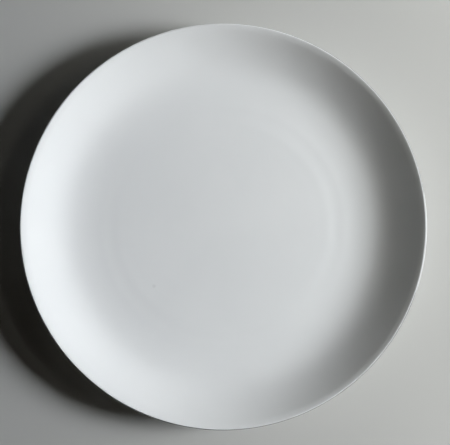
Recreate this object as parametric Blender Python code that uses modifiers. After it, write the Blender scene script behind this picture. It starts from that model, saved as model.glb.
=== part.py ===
"""Coupe chop plate: a turned porcelain body on a foot ring, glazed on its face, its back and its base.

Metres, +Z up. The origin is where the plate's axis meets the table, so the bare foot ring stands on Z = 0.
Every piece is turned about that axis from one profile, which runs from the middle of the face out to the rim,
back under the plate, round the foot ring and in to the middle of the base.
"""

import math

import bpy
from mathutils import Vector

# The finished plate, over its glaze
PLATE_DIAMETER = 0.330
PLATE_HEIGHT = 0.034

# The face: a flat well, then a sweep that turns up into a flare
WELL_DIAMETER = 0.160
FLARE_ANGLE = math.radians(41)
SWEEP_TENSION = 2.2

# The walls of the fired body, which thins from the well to the rim
WELL_THICKNESS = 0.0039
RIM_THICKNESS = 0.0011

# The lip: it rolls over from the face to this far past level, then turns sharply under
LIP_RADIUS = 0.0009
LIP_TILT = math.radians(25)

# The foot ring: its bearing face is measured across the middle of the ring
FOOT_DIAMETER = 0.160
FOOT_WIDTH = 0.0034
FOOT_HEIGHT = 0.0024
FOOT_DRAFT = math.radians(18)
FOOT_FILLET = 0.0010
FOOT_EDGE_RADIUS = 0.0006

# The glaze, and how far above the table it stops on the foot ring
GLAZE_THICKNESS = 0.00025
GLAZE_CLEARANCE = 0.00005
GLAZE_STOP = 0.0010

# Facets round the axis and along each curved stretch of the profile
TURN_STEPS = 64
SWEEP_STEPS = 10
LIP_STEPS = 4
FILLET_STEPS = 2
MERGE_DISTANCE = 0.000001

# Colours as seen: cool white satin glaze over a warmer, matt body
PORCELAIN_COLOUR = (0.80, 0.78, 0.74, 1.0)
PORCELAIN_ROUGHNESS = 0.65
GLAZE_COLOUR = (0.82, 0.84, 0.85, 1.0)
GLAZE_ROUGHNESS = 0.72


def sweep(start, end, angle, tension, steps):
    """Points of a conic that leaves start level and reaches end at the given angle.

    The tension is the conic's weight: a higher one holds the flat longer and turns up more quickly.
    """
    knee = Vector((end.x - (end.y - start.y) / math.tan(angle), start.y))
    points = []
    for step in range(steps + 1):
        t = step / steps
        weights = ((1 - t) ** 2, 2 * tension * t * (1 - t), t ** 2)
        points.append((weights[0] * start + weights[1] * knee + weights[2] * end) / sum(weights))
    return points


def arc(centre, radius, start_angle, end_angle, steps):
    """Points of a circular arc in the profile's plane."""
    points = []
    for step in range(steps + 1):
        angle = start_angle + (end_angle - start_angle) * step / steps
        points.append(centre + radius * Vector((math.cos(angle), math.sin(angle))))
    return points


def rounded_corner(before, corner, after, radius, steps):
    """Points of the fillet that replaces a corner of the profile."""
    towards = (before - corner).normalized()
    away = (after - corner).normalized()
    half = towards.angle(away) / 2
    centre = corner + (towards + away).normalized() * radius / math.sin(half)
    first = corner + towards * radius / math.tan(half) - centre
    turn = math.pi - 2 * half
    if towards.cross(away) > 0:
        turn = -turn
    start_angle = math.atan2(first.y, first.x)
    return arc(centre, radius, start_angle, start_angle + turn, steps)


def offset(points, distance):
    """The profile moved outwards, to its left as it runs, by the same distance everywhere."""
    moved = []
    for index, point in enumerate(points):
        normals = []
        for other in (index, index + 1):
            if 0 < other < len(points):
                along = (points[other] - points[other - 1]).normalized()
                normals.append(Vector((-along.y, along.x)))
        mitre = sum(normals, Vector((0, 0))).normalized()
        moved.append(point + mitre * distance / mitre.dot(normals[0]))
    return moved


def lip():
    """The body's rim, from the end of the face to the start of the back."""
    skin = GLAZE_CLEARANCE + GLAZE_THICKNESS
    past_level = math.pi / 2 - LIP_TILT
    turn = math.cos(FLARE_ANGLE + LIP_TILT)
    edge_radius = (RIM_THICKNESS - LIP_RADIUS * (1 - turn)) / (1 + turn)
    apart = (LIP_RADIUS - edge_radius) * Vector((math.cos(past_level), math.sin(past_level)))
    edge_reach = PLATE_DIAMETER / 2 - skin - edge_radius
    roll_centre = Vector((edge_reach - apart.x, PLATE_HEIGHT - skin - LIP_RADIUS))
    roll = arc(roll_centre, LIP_RADIUS, math.pi / 2 + FLARE_ANGLE, past_level, LIP_STEPS)
    edge = arc(roll_centre + apart, edge_radius, past_level, FLARE_ANGLE - math.pi / 2, LIP_STEPS)
    return roll[:-1] + edge


def face_and_back():
    """The body's profile from the middle of the face, round the rim, to the root of the foot ring."""
    rim = lip()
    well_level = FOOT_HEIGHT + WELL_THICKNESS
    well_edge = Vector((WELL_DIAMETER / 2, well_level))
    face = sweep(well_edge, rim[0], FLARE_ANGLE, SWEEP_TENSION, SWEEP_STEPS)
    root = foot_corners()[0]
    back_start = rounded_corner(root + Vector((1, 0)), root, foot_corners()[1], FOOT_FILLET, 1)[0]
    back = sweep(back_start, rim[-1], FLARE_ANGLE, SWEEP_TENSION, SWEEP_STEPS)
    return [Vector((0, well_level))] + face[:-1] + rim + back[-2:0:-1]


def foot_corners():
    """Sharp corners of the foot ring, from its outer root round the bearing face to its inner root."""
    middle = FOOT_DIAMETER / 2
    toe = FOOT_WIDTH / 2
    heel = toe + FOOT_HEIGHT * math.tan(FOOT_DRAFT)
    return [
        Vector((middle + heel, FOOT_HEIGHT)),
        Vector((middle + toe, 0)),
        Vector((middle - toe, 0)),
        Vector((middle - heel, FOOT_HEIGHT)),
    ]


def foot_sides():
    """The foot ring's filleted profile, split where the bare bearing face meets each glazed side."""
    corners = foot_corners()
    radii = (FOOT_FILLET, FOOT_EDGE_RADIUS, FOOT_EDGE_RADIUS, FOOT_FILLET)
    path = [corners[0] + Vector((1, 0))] + corners + [corners[-1] - Vector((1, 0))]
    fillets = []
    for index, radius in enumerate(radii):
        fillets.append(rounded_corner(path[index], path[index + 1], path[index + 2], radius, FILLET_STEPS))
    outer_stop = corners[1].lerp(corners[0], GLAZE_STOP / FOOT_HEIGHT)
    inner_stop = corners[2].lerp(corners[3], GLAZE_STOP / FOOT_HEIGHT)
    return fillets[0] + [outer_stop], fillets[1] + fillets[2], [inner_stop] + fillets[3]


def principled(name, colour, roughness):
    """A plain material of one colour and roughness."""
    material = bpy.data.materials.new(name)
    material.use_nodes = True
    shader = material.node_tree.nodes["Principled BSDF"]
    shader.inputs["Base Color"].default_value = colour
    shader.inputs["Roughness"].default_value = roughness
    shader.inputs["Metallic"].default_value = 0.0
    return material


def turned(name, profile, material, collection, parent):
    """A piece turned about the plate's axis from a profile in the XZ plane."""
    mesh = bpy.data.meshes.new(name)
    verts = [(point.x, 0, point.y) for point in profile]
    edges = [(index, index + 1) for index in range(len(verts) - 1)]
    mesh.from_pydata(verts, edges, [])
    mesh.materials.append(material)
    piece = bpy.data.objects.new(name, mesh)
    piece.parent = parent
    collection.objects.link(piece)

    screw = piece.modifiers.new("turn", 'SCREW')
    screw.axis = 'Z'
    screw.angle = 2 * math.pi
    screw.steps = TURN_STEPS
    screw.render_steps = TURN_STEPS
    screw.use_smooth_shade = True
    screw.use_merge_vertices = True
    screw.merge_threshold = MERGE_DISTANCE
    return piece


def glazed(name, profile, material, collection, parent):
    """A coat of glaze over one stretch of the body's profile."""
    piece = turned(name, offset(profile, GLAZE_CLEARANCE), material, collection, parent)
    coat = piece.modifiers.new("coat", 'SOLIDIFY')
    coat.thickness = GLAZE_THICKNESS
    coat.offset = 1
    coat.use_even_offset = True
    return piece


def build():
    for old in list(bpy.data.objects):
        bpy.data.objects.remove(old)
    collection = bpy.data.collections.new("chop_plate")
    bpy.context.scene.collection.children.link(collection)
    axis = bpy.data.objects.new("plate_axis", None)
    collection.objects.link(axis)

    porcelain = principled("porcelain", PORCELAIN_COLOUR, PORCELAIN_ROUGHNESS)
    glaze = principled("glaze", GLAZE_COLOUR, GLAZE_ROUGHNESS)

    outside, bearing, inside = foot_sides()
    coated = face_and_back() + outside
    base = inside + [Vector((0, FOOT_HEIGHT))]
    turned("porcelain_body", coated + bearing + base, porcelain, collection, axis)
    glazed("glaze_coat", coated, glaze, collection, axis)
    glazed("base_glaze", base, glaze, collection, axis)


build()
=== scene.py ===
"""Looks of the coupe chop plate: a satin white glaze over porcelain, on a pale table under soft lamps.

Metres, +Z up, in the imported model's frame. Each piece is turned about the plate's axis from an outline of
(radius, height) points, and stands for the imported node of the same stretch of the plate.
"""

import math

import bmesh
import bpy
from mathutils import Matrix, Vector


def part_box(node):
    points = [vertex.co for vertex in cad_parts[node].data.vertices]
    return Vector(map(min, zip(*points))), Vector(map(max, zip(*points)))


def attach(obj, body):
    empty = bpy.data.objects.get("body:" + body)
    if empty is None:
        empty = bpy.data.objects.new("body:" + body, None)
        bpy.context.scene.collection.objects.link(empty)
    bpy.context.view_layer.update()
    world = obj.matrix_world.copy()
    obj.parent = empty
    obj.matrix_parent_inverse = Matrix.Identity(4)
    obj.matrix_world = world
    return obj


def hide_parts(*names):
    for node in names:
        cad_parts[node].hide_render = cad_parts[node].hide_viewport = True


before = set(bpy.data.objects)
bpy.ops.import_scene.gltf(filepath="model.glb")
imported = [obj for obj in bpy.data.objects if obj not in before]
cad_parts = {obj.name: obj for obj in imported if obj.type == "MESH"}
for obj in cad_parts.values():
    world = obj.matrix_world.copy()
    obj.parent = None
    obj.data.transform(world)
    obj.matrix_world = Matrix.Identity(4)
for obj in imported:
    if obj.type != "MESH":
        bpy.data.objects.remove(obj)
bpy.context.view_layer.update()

# Outer sizes of the plate, over its glaze
PLATE_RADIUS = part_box("glaze_coat")[1].x
PLATE_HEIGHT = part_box("glaze_coat")[1].z

# The turned profile of the body: the well, the wall, the lip that it eases into, and the foot ring
WELL_RADIUS = 0.080
WELL_THICKNESS = 0.0039
FLARE_ANGLE = math.radians(41)
SWEEP_TENSION = 2.2
RIM_THICKNESS = 0.0011
LIP_RADIUS = 0.0012
LIP_TILT = math.radians(15)
EASE_TURN = math.radians(11)
EASE_RADIUS = 0.030
FOOT_RADIUS = 0.080
FOOT_WIDTH = 0.0034
FOOT_HEIGHT = 0.0024
FOOT_DRAFT = math.radians(18)
FOOT_FILLET = 0.0010
FOOT_EDGE_RADIUS = 0.0006

# Relief that turning and firing left on the face, a low swell and faint rings: radius, height and width
FACE_RINGS = (
    (0.1020, 0.00070, 0.0400),
    (0.0768, 0.00012, 0.0060),
    (0.0864, 0.00024, 0.0055),
    (0.1002, 0.00014, 0.0046),
    (0.1190, 0.00008, 0.0060),
)

# The power by which the relief fades towards the rim
RELIEF_FADE = 6

# Firing drew the plate in across one way: the share of its radius lost there, and the bearing that lost none
WARP = 0.00186
WARP_BEARING = math.radians(24)

# The glaze over the body, and how far above the table it stops on the foot ring
GLAZE_THICKNESS = 0.00025
GLAZE_CLEARANCE = 0.00005
GLAZE_STOP = 0.0010

# Painted shade round the rim: a dark band, and how far inside the plate's full radius it starts and is
# complete
RIM_SHADE_BAND = (0.00073, 0.00049)

# How far off the plate's axis the ring of painted shade lies
RIM_SHADE_SHIFT = (-0.00010, 0.00020, 0.0)

# Where the painted rim shade is lightened on the lamp's side: bearing, start and end in shares of the
# radius, and share of the shade that shows
RIM_SHADE_LIFTS = (
    (math.radians(25), 0.75, 0.95, 0.8),
    (math.radians(-5), 0.95, 0.99, 0.3),
)

# One larger speck in the well: its place, how far its core and its edge reach, and its strength
SPOT_PLACE = (-0.0576, -0.0492, 0.0071)
SPOT_REACH = (0.0007, 0.0019)
SPOT_SHARE = 0.17

# Facets round the axis and along the outline
TURN_STEPS = 192
WELL_STEPS = 40
FACE_STEPS = 96
BACK_STEPS = 48
EASE_STEPS = 6
LIP_STEPS = 12
FILLET_STEPS = 8
BEAD_STEPS = 6
SHARP_ANGLE = math.radians(40)

# The photograph's frame, and the rim's centre and longest radius in it, in pixels
IMAGE_SIZE = (450, 445)
RIM_CENTRE_PX = (223.33, 226.89)
RIM_RADIUS_PX = 203.87

# The camera: its height above the table in metres, and the width of its sensor in millimetres
CAMERA_HEIGHT = 1.10
SENSOR_WIDTH = 36.0

# Soft lamps, in degrees, metres and watts: aim is how far off the axis, towards the lamp, the beam points
LAMPS = {
    "soft_lamp": {
        "azimuth": 1.2, "elevation": 25.9, "distance": 4.0, "size": (1.50, 1.82), "power": 87.0,
        "colour": (0.966, 1.0, 1.030), "spread": 72.3, "aim": 2.24,
    },
    "strip_lamp": {
        "azimuth": 10.5, "elevation": 50.9, "distance": 4.0, "size": (5.05, 0.30), "power": 111.5,
        "colour": (1.022, 1.0, 0.884), "spread": 72.3, "aim": 2.24,
    },
    "back_card": {
        "azimuth": 62.0, "elevation": 5.0, "distance": 2.4, "size": (1.60, 0.80), "power": 8.4,
        "colour": (1.0, 1.0, 0.93), "spread": 180.0, "aim": 0.0,
    },
    "front_card": {
        "azimuth": -60.0, "elevation": 5.0, "distance": 2.4, "size": (1.60, 0.80), "power": 2.7,
        "colour": (1.2, 1.0, 0.65), "spread": 180.0, "aim": 0.0,
    },
}

# The room: the light that it gives, and the colour that the eye and reflections see
ROOM_LIGHT = (0.001, 0.001, 0.001, 1.0)
BACKDROP_COLOUR = (0.61, 0.60, 0.575, 1.0)

# Colours of the surfaces
GLAZE_COLOUR = (0.83, 0.84, 0.846, 1.0)
GLAZE_CLOUD_COLOUR = (0.814, 0.825, 0.832, 1.0)
# Dark grey painted round the rim's outer edge as shade
RIM_SHADE_COLOUR = (0.06, 0.06, 0.058, 1.0)
SPECK_COLOUR = (0.42, 0.42, 0.41, 1.0)
PORCELAIN_COLOUR = (0.78, 0.75, 0.70, 1.0)
RUBBED_COLOUR = (0.55, 0.52, 0.48, 1.0)
TABLE_COLOUR = (0.524, 0.523, 0.510, 1.0)
TABLE_CLOUD_COLOUR = (0.514, 0.513, 0.500, 1.0)

# Patches in the surfaces: scale and detail of their noise, and the two levels of it that they ramp between
GLAZE_CLOUDS = (14.0, 3.0, 0.35, 0.65)
GLAZE_POLISH = (60.0, 2.0, 0.30, 0.70)
RUBBED_PATCHES = (160.0, 4.0, 0.42, 0.62)
TABLE_CLOUDS = (5.0, 4.0, 0.30, 0.70)

# Roughness at the low and the high level of the noise that varies it
GLAZE_ROUGHNESS = (0.72, 0.78)
PORCELAIN_ROUGHNESS = (0.62, 0.78)

# Fine ripples in the glaze: scale and detail of their noise, their height and their strength
GLAZE_RIPPLES = (260.0, 2.0)
RIPPLE_HEIGHT = 0.00002
RIPPLE_STRENGTH = 0.25

# Tiny specks in the glaze: cells per metre, reach of core and edge in shares of a cell, and strength
SPECK_CELLS = 30.0
SPECK_REACH = (0.006, 0.014)
SPECK_SHARE = 0.4

# Grain of the bare clay: scale and detail of its noise, levels for the roughness, height and strength
CLAY_GRAIN = (900.0, 3.0)
GRAIN_LEVELS = (0.30, 0.70)
GRAIN_HEIGHT = 0.00006
GRAIN_STRENGTH = 0.5

# How far up the foot ring the clay is rubbed grey
RUBBED_HEIGHT = 0.0004

# The table: its width, its finish, and where it fades into the backdrop, by distance from the axis
TABLE_SIZE = 12.0
TABLE_ROUGHNESS = 0.9
TABLE_SPECULAR = 0.1
FADE_START = 0.32
FADE_END = 1.10


def sweep(start, end, angle, tension, steps):
    """Points of a conic that leaves start level and reaches end at the given angle."""
    knee = Vector((end.x - (end.y - start.y) / math.tan(angle), start.y))
    points = []
    for step in range(steps + 1):
        t = step / steps
        weights = ((1 - t) ** 2, 2 * tension * t * (1 - t), t ** 2)
        points.append((weights[0] * start + weights[1] * knee + weights[2] * end) / sum(weights))
    return points


def arc(centre, radius, start_angle, end_angle, steps):
    """Points of a circular arc in the outline's plane."""
    points = []
    for step in range(steps + 1):
        angle = start_angle + (end_angle - start_angle) * step / steps
        points.append(centre + radius * Vector((math.cos(angle), math.sin(angle))))
    return points


def rounded_corner(before, corner, after, radius, steps):
    """Points of the fillet that replaces a corner of the outline."""
    towards = (before - corner).normalized()
    away = (after - corner).normalized()
    half = towards.angle(away) / 2
    centre = corner + (towards + away).normalized() * radius / math.sin(half)
    first = corner + towards * radius / math.tan(half) - centre
    turn = math.pi - 2 * half
    if towards.cross(away) > 0:
        turn = -turn
    start_angle = math.atan2(first.y, first.x)
    return arc(centre, radius, start_angle, start_angle + turn, steps)


def straight(start, end, steps):
    """Evenly spaced points from start to just before end."""
    return [start.lerp(end, step / steps) for step in range(steps)]


def offset(points, distance):
    """The outline moved outwards, to its left as it runs, by the same distance everywhere."""
    moved = []
    for index, point in enumerate(points):
        normals = []
        for other in (index, index + 1):
            if 0 < other < len(points):
                along = (points[other] - points[other - 1]).normalized()
                normals.append(Vector((-along.y, along.x)))
        mitre = sum(normals, Vector((0, 0))).normalized()
        moved.append(point + mitre * distance / mitre.dot(normals[0]))
    return moved


def foot_corners():
    """Sharp corners of the foot ring, from its outer root round the bearing face to its inner root."""
    toe = FOOT_WIDTH / 2
    heel = toe + FOOT_HEIGHT * math.tan(FOOT_DRAFT)
    return [
        Vector((FOOT_RADIUS + heel, FOOT_HEIGHT)),
        Vector((FOOT_RADIUS + toe, 0)),
        Vector((FOOT_RADIUS - toe, 0)),
        Vector((FOOT_RADIUS - heel, FOOT_HEIGHT)),
    ]


def foot_sides():
    """The foot ring's outline in three: its glazed outer side, its bare toe and its glazed inner side."""
    corners = foot_corners()
    radii = (FOOT_FILLET, FOOT_EDGE_RADIUS, FOOT_EDGE_RADIUS, FOOT_FILLET)
    path = [corners[0] + Vector((1, 0))] + corners + [corners[-1] - Vector((1, 0))]
    fillets = []
    for index, radius in enumerate(radii):
        fillets.append(rounded_corner(path[index], path[index + 1], path[index + 2], radius, FILLET_STEPS))
    outer_stop = corners[1].lerp(corners[0], GLAZE_STOP / FOOT_HEIGHT)
    inner_stop = corners[2].lerp(corners[3], GLAZE_STOP / FOOT_HEIGHT)
    return fillets[0] + [outer_stop], fillets[1] + fillets[2], [inner_stop] + fillets[3]


def lip():
    """The body's rim: the wall eases off, rolls over at the top and turns sharply under to the back."""
    skin = GLAZE_CLEARANCE + GLAZE_THICKNESS
    past_level = math.pi / 2 - LIP_TILT
    turn = math.cos(FLARE_ANGLE + LIP_TILT)
    edge_radius = (RIM_THICKNESS - LIP_RADIUS * (1 - turn)) / (1 + turn)
    apart = (LIP_RADIUS - edge_radius) * Vector((math.cos(past_level), math.sin(past_level)))
    edge_reach = PLATE_RADIUS - skin - edge_radius
    roll_centre = Vector((edge_reach - apart.x, PLATE_HEIGHT - skin - LIP_RADIUS))
    face_end = math.pi / 2 + FLARE_ANGLE
    eased = face_end - EASE_TURN
    roll = arc(roll_centre, LIP_RADIUS, eased, past_level, LIP_STEPS)
    edge = arc(roll_centre + apart, edge_radius, past_level, FLARE_ANGLE - math.pi / 2, LIP_STEPS)
    ease_centre = roll[0] - EASE_RADIUS * Vector((math.cos(eased), math.sin(eased)))
    ease = arc(ease_centre, EASE_RADIUS, face_end, eased, EASE_STEPS)
    return ease[:-1] + roll[:-1] + edge


def face_and_back(root):
    """The body's outline from the middle of the face, round the rim, to the root of the foot ring."""
    rim = lip()
    well_level = FOOT_HEIGHT + WELL_THICKNESS
    well_edge = Vector((WELL_RADIUS, well_level))
    well = straight(Vector((0, well_level)), well_edge, WELL_STEPS)
    wall = sweep(well_edge, rim[0], FLARE_ANGLE, SWEEP_TENSION, FACE_STEPS)
    face = [point + Vector((0, relief(point.x, rim[0].x))) for point in well + wall[:-1]]
    back = sweep(root, rim[-1], FLARE_ANGLE, SWEEP_TENSION, BACK_STEPS)
    return face + rim + back[-2:0:-1]


def relief(radius, end):
    """How far the face stands proud of its plain profile, which it meets again at the end of the face."""
    proud = 0.0
    for middle, height, width in FACE_RINGS:
        proud += height * math.exp(-((radius - middle) / width) ** 2)
    return proud * (1 - (radius / end) ** RELIEF_FADE)


def bead(inner, outer, steps):
    """Points of the round edge between the end points of a coat's outer and inner faces."""
    centre = (inner + outer) / 2
    across = outer - centre
    along = Vector((across.y, -across.x))
    turns = [math.pi * step / steps for step in range(1, steps)]
    return [centre + math.cos(turn) * across + math.sin(turn) * along for turn in turns]


def coat_outline(covered):
    """The closed outline of a glaze coat over a stretch of the body that starts on the axis."""
    inner = offset(covered, GLAZE_CLEARANCE)
    outer = offset(covered, GLAZE_CLEARANCE + GLAZE_THICKNESS)
    return outer + bead(inner[-1], outer[-1], BEAD_STEPS) + inner[::-1]


def coat_outline_from_stop(covered):
    """The closed outline of a glaze coat over a stretch of the body that ends on the axis."""
    inner = offset(covered, GLAZE_CLEARANCE)
    outer = offset(covered, GLAZE_CLEARANCE + GLAZE_THICKNESS)
    edge = bead(outer[0], inner[0], BEAD_STEPS)
    return inner[::-1] + edge + outer


def turned(name, outline, material, node):
    """A closed piece turned, a little out of round, from an outline that starts and ends on the axis."""
    made = bmesh.new()
    first = made.verts.new((0, 0, outline[0].y))
    last = made.verts.new((0, 0, outline[-1].y))
    rings = []
    for point in outline[1:-1]:
        ring = []
        for step in range(TURN_STEPS):
            turn = 2 * math.pi * step / TURN_STEPS
            reach = point.x * (1 - WARP * math.sin(turn - WARP_BEARING) ** 2)
            ring.append(made.verts.new((reach * math.cos(turn), reach * math.sin(turn), point.y)))
        rings.append(ring)
    for step in range(TURN_STEPS):
        after = (step + 1) % TURN_STEPS
        made.faces.new((first, rings[0][step], rings[0][after]))
        made.faces.new((last, rings[-1][after], rings[-1][step]))
        for upper, lower in zip(rings, rings[1:]):
            made.faces.new((upper[step], lower[step], lower[after], upper[after]))
    bmesh.ops.recalc_face_normals(made, faces=made.faces)
    mesh = bpy.data.meshes.new(name)
    made.to_mesh(mesh)
    made.free()
    mesh.materials.append(material)
    mesh.shade_smooth()
    mesh.set_sharp_from_angle(angle=SHARP_ANGLE)
    piece = bpy.data.objects.new(name, mesh)
    bpy.context.scene.collection.objects.link(piece)
    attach(piece, "root")
    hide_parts(node)


def colour_mix(tree):
    """The factor, first, second and result sockets of a new node that mixes two colours."""
    node = tree.nodes.new("ShaderNodeMix")
    node.data_type = 'RGBA'
    return node.inputs[0], node.inputs[6], node.inputs[7], node.outputs[2]


class Graph:
    """A material's node tree, with a short way to add and link its nodes."""

    def __init__(self, name):
        self.material = bpy.data.materials.new(name)
        self.material.use_nodes = True
        self.tree = self.material.node_tree
        self.shader = self.tree.nodes["Principled BSDF"]
        self.place = self.tree.nodes.new("ShaderNodeTexCoord").outputs["Object"]

    def put(self, value, socket):
        """Sets a socket to a plain value, or links it to another node's output."""
        if isinstance(value, bpy.types.NodeSocket):
            self.tree.links.new(value, socket)
        else:
            socket.default_value = value

    def noise(self, scale, detail):
        """Noise over the surface, from about 0 to 1."""
        node = self.tree.nodes.new("ShaderNodeTexNoise")
        self.put(self.place, node.inputs["Vector"])
        self.put(scale, node.inputs["Scale"])
        self.put(detail, node.inputs["Detail"])
        return node.outputs["Fac"]

    def ramp(self, value, low, high, to_low=0.0, to_high=1.0):
        """The value's range from low to high, eased onto another range and held at its ends."""
        node = self.tree.nodes.new("ShaderNodeMapRange")
        node.interpolation_type = 'SMOOTHSTEP'
        self.put(value, node.inputs["Value"])
        self.put(low, node.inputs["From Min"])
        self.put(high, node.inputs["From Max"])
        self.put(to_low, node.inputs["To Min"])
        self.put(to_high, node.inputs["To Max"])
        return node.outputs["Result"]

    def patches(self, scale, detail, low, high, to_low=0.0, to_high=1.0):
        """Noise that eases from one value to another between two of its levels."""
        return self.ramp(self.noise(scale, detail), low, high, to_low, to_high)

    def math(self, operation, first, second):
        """One step of arithmetic on two values."""
        node = self.tree.nodes.new("ShaderNodeMath")
        node.operation = operation
        self.put(first, node.inputs[0])
        self.put(second, node.inputs[1])
        return node.outputs[0]

    def mix(self, factor, first, second):
        """The first colour at a factor of 0, and the second at 1."""
        *sockets, result = colour_mix(self.tree)
        for value, socket in zip((factor, first, second), sockets):
            self.put(value, socket)
        return result

    def axes(self, origin=(0.0, 0.0, 0.0)):
        """The place on the surface, by its coordinates from the origin."""
        moved = self.tree.nodes.new("ShaderNodeVectorMath")
        moved.operation = 'SUBTRACT'
        self.put(self.place, moved.inputs[0])
        self.put(origin, moved.inputs[1])
        node = self.tree.nodes.new("ShaderNodeSeparateXYZ")
        self.put(moved.outputs[0], node.inputs[0])
        return node.outputs

    def radius(self, origin=(0.0, 0.0, 0.0)):
        """Distance from an upright axis through the origin."""
        x, y, _ = self.axes(origin)
        squares = self.math('ADD', self.math('POWER', x, 2), self.math('POWER', y, 2))
        return self.math('SQRT', squares, 0)

    def distance(self, place):
        """Distance from a place."""
        node = self.tree.nodes.new("ShaderNodeVectorMath")
        node.operation = 'DISTANCE'
        self.put(self.place, node.inputs[0])
        self.put(place, node.inputs[1])
        return node.outputs["Value"]

    def along(self, bearing):
        """Distance from the plate's axis towards a bearing."""
        x, y, _ = self.axes()
        return self.math('ADD', self.math('MULTIPLY', x, math.cos(bearing)),
                         self.math('MULTIPLY', y, math.sin(bearing)))

    def bump(self, height, distance, strength):
        """Fine relief, which the shader takes as its normal."""
        node = self.tree.nodes.new("ShaderNodeBump")
        self.put(height, node.inputs["Height"])
        self.put(distance, node.inputs["Distance"])
        self.put(strength, node.inputs["Strength"])
        self.put(node.outputs["Normal"], self.shader.inputs["Normal"])


def painted_rim_shade(graph):
    """How much painted shade shows round the rim's outer edge: all of it round the rim, and less on the
    lamp's side.
    """
    shade_mask = graph.ramp(graph.radius(RIM_SHADE_SHIFT), PLATE_RADIUS - RIM_SHADE_BAND[0], PLATE_RADIUS - RIM_SHADE_BAND[1])
    for bearing, start, end, shown in RIM_SHADE_LIFTS:
        shade_lift = graph.ramp(graph.along(bearing), start * PLATE_RADIUS, end * PLATE_RADIUS, 1.0, shown)
        shade_mask = graph.math('MULTIPLY', shade_mask, shade_lift)
    return shade_mask


def tiny_specks(graph):
    """Specks at the middles of scattered cells, which show where the surface cuts one."""
    cells = graph.tree.nodes.new("ShaderNodeTexVoronoi")
    graph.put(graph.place, cells.inputs["Vector"])
    graph.put(SPECK_CELLS, cells.inputs["Scale"])
    return graph.ramp(cells.outputs["Distance"], *SPECK_REACH, SPECK_SHARE, 0.0)


def glaze_material():
    """Satin white glaze: faintly cloudy, with a few specks, and a dark band of painted shade round the rim's
    outer edge.
    """
    graph = Graph("satin_glaze")
    colour = graph.mix(graph.patches(*GLAZE_CLOUDS), GLAZE_COLOUR, GLAZE_CLOUD_COLOUR)
    # Painted shade: a dark band mixed in round the rim's outer edge
    colour = graph.mix(painted_rim_shade(graph), colour, RIM_SHADE_COLOUR)
    colour = graph.mix(tiny_specks(graph), colour, SPECK_COLOUR)
    spot = graph.ramp(graph.distance(SPOT_PLACE), *SPOT_REACH, SPOT_SHARE, 0.0)
    graph.put(graph.mix(spot, colour, SPECK_COLOUR), graph.shader.inputs["Base Color"])
    graph.put(graph.patches(*GLAZE_POLISH, *GLAZE_ROUGHNESS), graph.shader.inputs["Roughness"])
    graph.bump(graph.noise(*GLAZE_RIPPLES), RIPPLE_HEIGHT, RIPPLE_STRENGTH)
    return graph.material


def porcelain_material():
    """Bare fired clay: warm and matt, rubbed grey where the foot ring meets the table."""
    graph = Graph("bare_porcelain")
    near_table = graph.ramp(graph.axes()[2], 0.0, RUBBED_HEIGHT, 1.0, 0.0)
    rubbed = graph.math('MULTIPLY', near_table, graph.patches(*RUBBED_PATCHES))
    graph.put(graph.mix(rubbed, PORCELAIN_COLOUR, RUBBED_COLOUR), graph.shader.inputs["Base Color"])
    grain = graph.noise(*CLAY_GRAIN)
    graph.put(graph.ramp(grain, *GRAIN_LEVELS, *PORCELAIN_ROUGHNESS), graph.shader.inputs["Roughness"])
    graph.bump(grain, GRAIN_HEIGHT, GRAIN_STRENGTH)
    return graph.material


def seen_directly(tree):
    """A node output that is 1 for what the eye sees, straight or reflected, and 0 for other light."""
    shown = tree.nodes.new("ShaderNodeLightPath").outputs
    seen = shown["Is Camera Ray"]
    for ray in ("Is Glossy Ray", "Is Transmission Ray"):
        either = tree.nodes.new("ShaderNodeMath")
        either.operation = 'MAXIMUM'
        tree.links.new(seen, either.inputs[0])
        tree.links.new(shown[ray], either.inputs[1])
        seen = either.outputs[0]
    return seen


def table_material():
    """Plain pale matt paper that fades into the backdrop far from the plate."""
    graph = Graph("pale_table")
    clouds = graph.patches(*TABLE_CLOUDS)
    graph.put(graph.mix(clouds, TABLE_COLOUR, TABLE_CLOUD_COLOUR), graph.shader.inputs["Base Color"])
    graph.put(TABLE_ROUGHNESS, graph.shader.inputs["Roughness"])
    graph.put(TABLE_SPECULAR, graph.shader.inputs["Specular IOR Level"])

    glow = graph.tree.nodes.new("ShaderNodeEmission")
    graph.put(BACKDROP_COLOUR, glow.inputs["Color"])
    far = graph.ramp(graph.radius(), FADE_START, FADE_END)
    fade = graph.math('MULTIPLY', far, seen_directly(graph.tree))
    blend = graph.tree.nodes.new("ShaderNodeMixShader")
    graph.put(fade, blend.inputs[0])
    graph.put(graph.shader.outputs[0], blend.inputs[1])
    graph.put(glow.outputs[0], blend.inputs[2])
    graph.put(blend.outputs[0], graph.tree.nodes["Material Output"].inputs["Surface"])
    return graph.material


def add_plate():
    """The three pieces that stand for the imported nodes."""
    outside, bearing, inside = foot_sides()
    coated = face_and_back(outside[0]) + outside
    base = inside + straight(Vector((0, FOOT_HEIGHT)), inside[-1], WELL_STEPS)[::-1]
    glaze = glaze_material()
    turned("face_and_back_glaze", coat_outline(coated), glaze, "glaze_coat")
    turned("base_glaze_patch", coat_outline_from_stop(base), glaze, "base_glaze")
    turned("porcelain", coated + bearing + base, porcelain_material(), "porcelain_body")


def add_table():
    """The pale surface that the plate stands on."""
    mesh = bpy.data.meshes.new("table")
    made = bmesh.new()
    bmesh.ops.create_grid(made, x_segments=1, y_segments=1, size=TABLE_SIZE / 2)
    made.to_mesh(mesh)
    made.free()
    mesh.materials.append(table_material())
    table = bpy.data.objects.new("table", mesh)
    bpy.context.scene.collection.objects.link(table)


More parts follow.
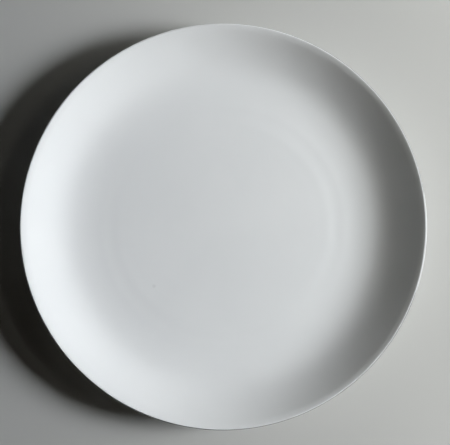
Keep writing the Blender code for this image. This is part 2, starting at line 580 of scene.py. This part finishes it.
def add_lamp(name, azimuth, elevation, distance, size, power, colour, spread, aim):
    """A soft oval lamp above the table."""
    lamp = bpy.data.lights.new(name, 'AREA')
    lamp.shape = 'ELLIPSE'
    lamp.size, lamp.size_y = size
    lamp.spread = math.radians(spread)
    lamp.energy = power
    lamp.color = colour
    holder = bpy.data.objects.new(name, lamp)
    bpy.context.scene.collection.objects.link(holder)
    turn, tilt = math.radians(azimuth), math.radians(elevation)
    level = math.cos(tilt)
    towards = Vector((level * math.cos(turn), level * math.sin(turn), math.sin(tilt)))
    holder.location = towards * distance
    target = Vector((math.cos(turn), math.sin(turn), 0)) * aim
    holder.rotation_euler = (holder.location - target).to_track_quat('Z', 'Y').to_euler()


def add_room():
    """A dim room that looks pale to the eye and in reflections."""
    world = bpy.data.worlds.new("room")
    bpy.context.scene.world = world
    world.use_nodes = True
    tree = world.node_tree
    factor, dim, pale, result = colour_mix(tree)
    tree.links.new(seen_directly(tree), factor)
    dim.default_value = ROOM_LIGHT
    pale.default_value = BACKDROP_COLOUR
    tree.links.new(result, tree.nodes["Background"].inputs["Color"])


def add_camera():
    """The camera straight above, with the rim where the photograph has it."""
    data = bpy.data.cameras.new("camera")
    camera = bpy.data.objects.new("camera", data)
    bpy.context.scene.collection.objects.link(camera)
    bpy.context.scene.camera = camera
    pixels_per_metre = RIM_RADIUS_PX / PLATE_RADIUS
    right = (IMAGE_SIZE[0] / 2 - RIM_CENTRE_PX[0]) / pixels_per_metre
    up = (RIM_CENTRE_PX[1] - IMAGE_SIZE[1] / 2) / pixels_per_metre
    camera.location = (right, up, CAMERA_HEIGHT)
    data.sensor_width = SENSOR_WIDTH
    frame_width = IMAGE_SIZE[0] / pixels_per_metre
    data.lens = SENSOR_WIDTH * (CAMERA_HEIGHT - PLATE_HEIGHT) / frame_width


bpy.context.scene.view_settings.view_transform = 'Standard'
add_plate()
add_table()
for lamp_name, lamp_values in LAMPS.items():
    add_lamp(lamp_name, **lamp_values)
add_room()
add_camera()
